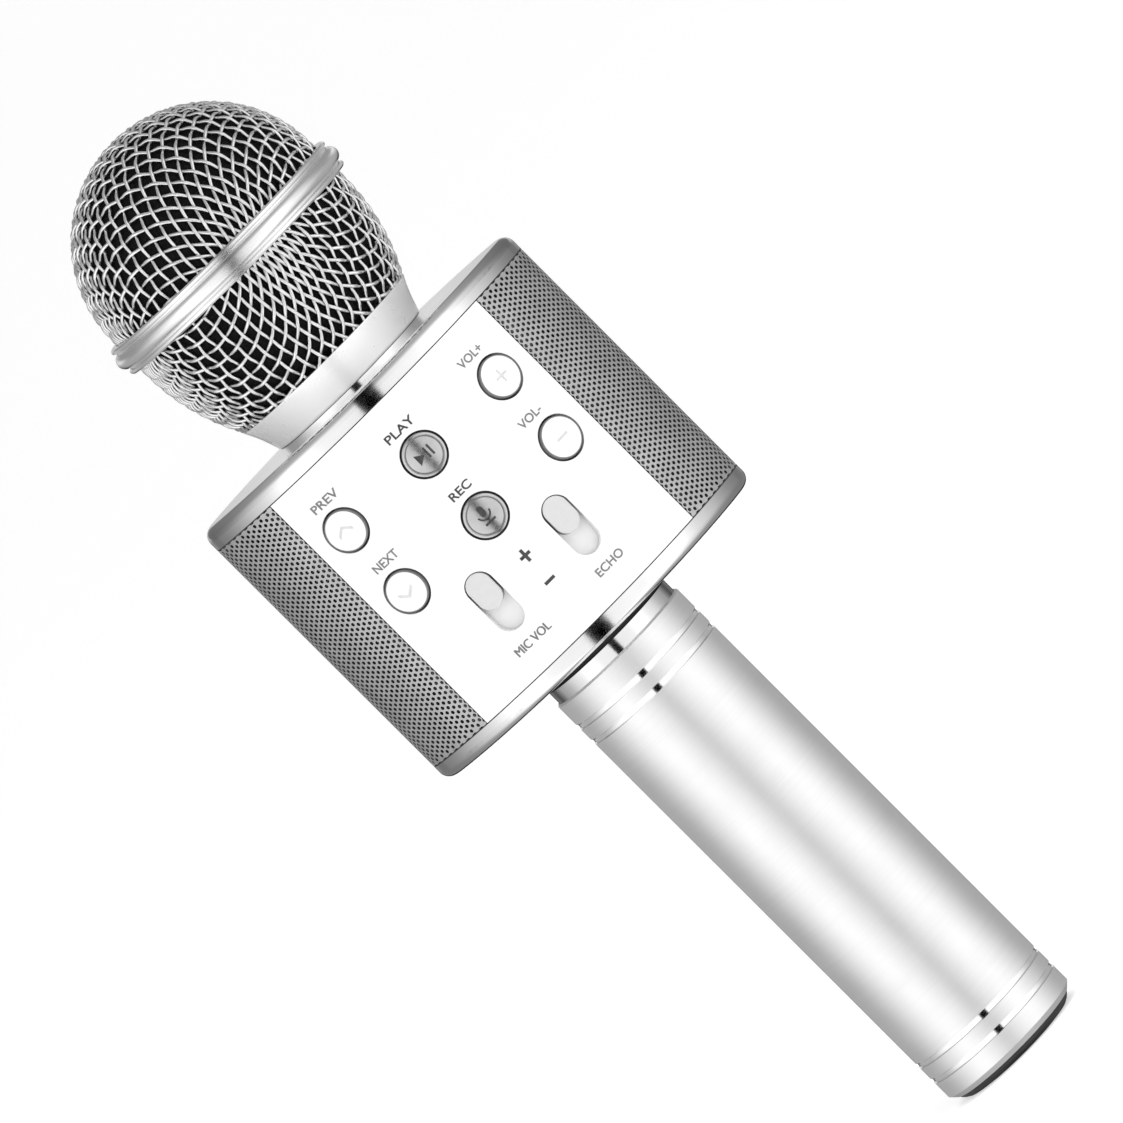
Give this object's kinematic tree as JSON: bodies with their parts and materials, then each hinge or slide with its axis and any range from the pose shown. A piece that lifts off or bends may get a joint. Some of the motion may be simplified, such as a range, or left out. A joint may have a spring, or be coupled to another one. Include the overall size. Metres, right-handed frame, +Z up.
{
  "type": "karaoke microphone",
  "caption": "Handheld karaoke microphone with a wire mesh ball head, a wide speaker housing with round keys and sliders, and a tubular battery handle.",
  "frame": {"origin": "centre of the flat foot of the end cap, which the microphone stands on", "axes": "+Z up the handle's axis to the ball head, -Y out of the key panel, +X to the right of someone facing the keys"},
  "size_m": [0.078, 0.056, 0.2344],
  "materials": {
    "mesh_wire": "satin",
    "band_chrome": "gloss",
    "collar_metal": "gloss",
    "foam": "matte",
    "trim_plated": "gloss",
    "panel_white": "satin",
    "side_grille": "satin",
    "frame_plastic": "matte",
    "spigot_plastic": "satin",
    "mount_rubber": "matte",
    "capsule_can": "satin",
    "lead_black": "satin",
    "lead_red": "satin",
    "screw_steel": "satin",
    "basket_steel": "satin",
    "magnet_ferrite": "matte",
    "cone_paper": "matte",
    "surround_rubber": "matte",
    "switch_black": "matte",
    "board_green": "satin",
    "package_black": "satin",
    "socket_steel": "satin",
    "key_white": "gloss",
    "key_plated": "gloss",
    "slider_grey": "satin",
    "handle_aluminium": "satin",
    "coupling_plastic": "matte",
    "nut_metal": "satin",
    "sleeve_plastic": "matte",
    "cell_wrap": "satin",
    "contact_brass": "satin",
    "spring_steel": "satin",
    "end_cap_black": "satin",
    "gasket_rubber": "matte"
  },
  "bodies": {
    "housing": {"head_spigot": "spigot_plastic", "capsule_holder": "frame_plastic", "shock_mount": "mount_rubber", "capsule_body": "capsule_can", "capsule_grid": "frame_plastic", "capsule_lead": "lead_black", "top_cap": "trim_plated", "bottom_cap": "trim_plated", "front_panel": "panel_white", "rear_panel": "panel_white", "side_grille_left": "side_grille", "side_grille_right": "side_grille", "inner_frame": "frame_plastic", "rear_screws": "screw_steel", "speaker_basket_left": "basket_steel", "speaker_basket_right": "basket_steel", "speaker_magnet_left": "magnet_ferrite", "speaker_magnet_right": "magnet_ferrite", "speaker_cone_left": "cone_paper", "speaker_cone_right": "cone_paper", "speaker_surround_left": "surround_rubber", "speaker_surround_right": "surround_rubber", "speaker_leads": "lead_black", "key_switches": "switch_black", "key_carrier": "frame_plastic", "slider_tracks": "switch_black", "main_board": "board_green", "main_board_parts": "package_black", "port_board": "board_green", "usb_socket": "socket_steel", "card_socket": "socket_steel", "audio_jack": "switch_black", "power_switch_body": "switch_black", "battery_lead_positive": "lead_red", "battery_lead_negative": "lead_black", "handle_neck_ring": "trim_plated", "handle_coupling": "coupling_plastic", "coupling_nut": "nut_metal", "handle_tube": "handle_aluminium", "battery_sleeve": "sleeve_plastic", "battery_cell": "cell_wrap", "battery_contact": "contact_brass"},
    "grille_head": {"upper_grille": "mesh_wire", "lower_grille": "mesh_wire", "grille_band": "band_chrome", "neck_collar": "collar_metal"},
    "foam": {"foam_liner": "foam"},
    "handle_plug": {"end_cap": "end_cap_black", "battery_spring": "spring_steel"},
    "plug_gasket": {"end_cap_gasket": "gasket_rubber"},
    "power_switch": {"power_switch_knob": "end_cap_black"},
    "mic_volume": {"mic_volume_slider": "slider_grey"},
    "echo": {"echo_slider": "slider_grey"},
    "previous_key": {"previous_button": "key_white"},
    "next_key": {"next_button": "key_white"},
    "play_key": {"play_button": "key_plated"},
    "record_key": {"record_button": "key_plated"},
    "volume_up_key": {"volume_up_button": "key_white"},
    "volume_down_key": {"volume_down_button": "key_white"}
  },
  "joints": [
    {"name": "head_lift", "type": "slide", "parent": "housing", "child": "foam", "axis": [0, 0, 1], "range_m": [0, 0.0046]},
    {"name": "head_turn", "type": "hinge", "parent": "foam", "child": "grille_head", "pos_m": [0, 0, 0.176], "axis": [0, 0, 1], "range_deg": [0, 1080]},
    {"name": "plug_drop", "type": "slide", "parent": "housing", "child": "plug_gasket", "axis": [0, 0, -1], "range_m": [0, 0.0061]},
    {"name": "plug_turn", "type": "hinge", "parent": "plug_gasket", "child": "handle_plug", "pos_m": [0, 0, 0.0016], "axis": [0, 0, -1], "range_deg": [0, 1440]},
    {"name": "previous_key_press", "type": "slide", "parent": "housing", "child": "previous_key", "axis": [0.4326, 0.9016, 0], "range_m": [0, 0.0005], "stiffness_N_per_m": 400, "springref_m": -0.0002},
    {"name": "next_key_press", "type": "slide", "parent": "housing", "child": "next_key", "axis": [0.4326, 0.9016, 0], "range_m": [0, 0.0005], "stiffness_N_per_m": 400, "springref_m": -0.0002},
    {"name": "play_key_press", "type": "slide", "parent": "housing", "child": "play_key", "axis": [0, 1, 0], "range_m": [0, 0.0005], "stiffness_N_per_m": 400, "springref_m": -0.0002},
    {"name": "record_key_press", "type": "slide", "parent": "housing", "child": "record_key", "axis": [0, 1, 0], "range_m": [0, 0.0005], "stiffness_N_per_m": 400, "springref_m": -0.0002},
    {"name": "volume_up_key_press", "type": "slide", "parent": "housing", "child": "volume_up_key", "axis": [-0.4326, 0.9016, 0], "range_m": [0, 0.0005], "stiffness_N_per_m": 400, "springref_m": -0.0002},
    {"name": "volume_down_key_press", "type": "slide", "parent": "housing", "child": "volume_down_key", "axis": [-0.4326, 0.9016, 0], "range_m": [0, 0.0005], "stiffness_N_per_m": 400, "springref_m": -0.0002},
    {"name": "mic_volume_slide", "type": "slide", "parent": "housing", "child": "mic_volume", "axis": [0, 0, -1], "range_m": [0, 0.0052]},
    {"name": "echo_slide", "type": "slide", "parent": "housing", "child": "echo", "axis": [0, 0, -1], "range_m": [0, 0.0052]},
    {"name": "power_switch_slide", "type": "slide", "parent": "housing", "child": "power_switch", "axis": [0, 0, 1], "range_m": [0, 0.003]}
  ],
  "couplings": [
    {"joint": "head_lift", "follows": "head_turn", "m_per_rad": 0.00023873},
    {"joint": "plug_drop", "follows": "plug_turn", "m_per_rad": 0.00023873}
  ]
}
